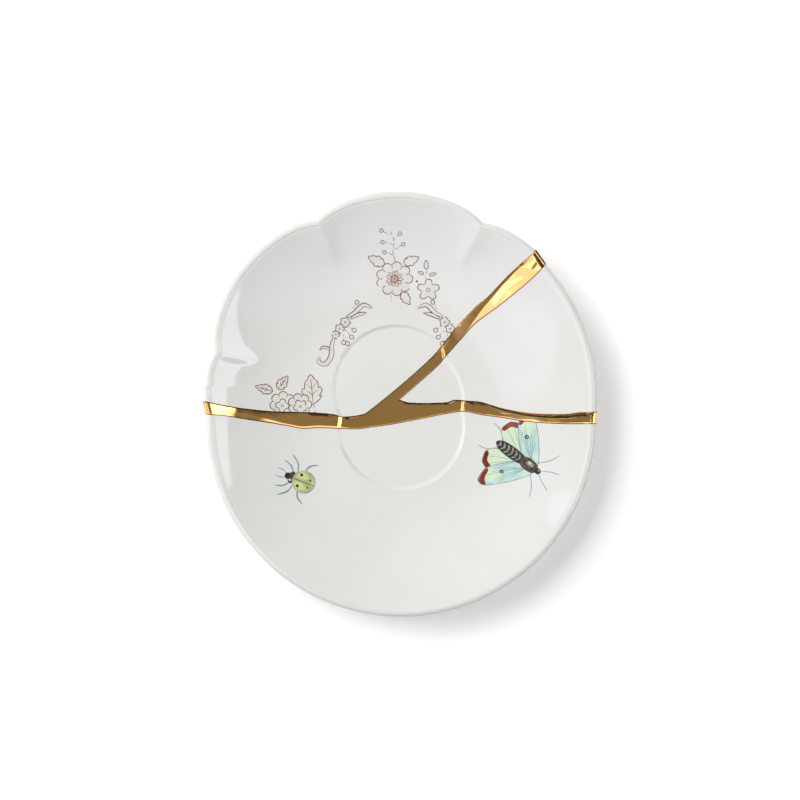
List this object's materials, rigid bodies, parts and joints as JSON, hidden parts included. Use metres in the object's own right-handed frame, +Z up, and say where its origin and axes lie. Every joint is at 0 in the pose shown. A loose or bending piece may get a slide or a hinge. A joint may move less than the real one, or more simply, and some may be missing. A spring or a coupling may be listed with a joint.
{
  "type": "saucer",
  "caption": "Porcelain saucer mended from fragments of unlike saucers, with a forked gold seam, a sunk well for a cup's foot and a scalloped stretch of rim.",
  "frame": {"origin": "on the ground below the middle of the whole saucer's box", "axes": "+Z up from the foot, +Y towards the top lobe of the scalloped fragment, +X towards the single seam's end at the plain rim"},
  "size_m": [0.1588, 0.1704, 0.0204],
  "materials": {
    "porcelain": "clear glossy glaze over cool white porcelain with small printed sprays and painted insects",
    "gold": "mirror polished gold skin"
  },
  "bodies": {
    "root": {"lobed_fragment": "porcelain", "right_fragment": "porcelain", "lower_fragment": "porcelain", "gold_seam": "gold"}
  },
  "joints": []
}
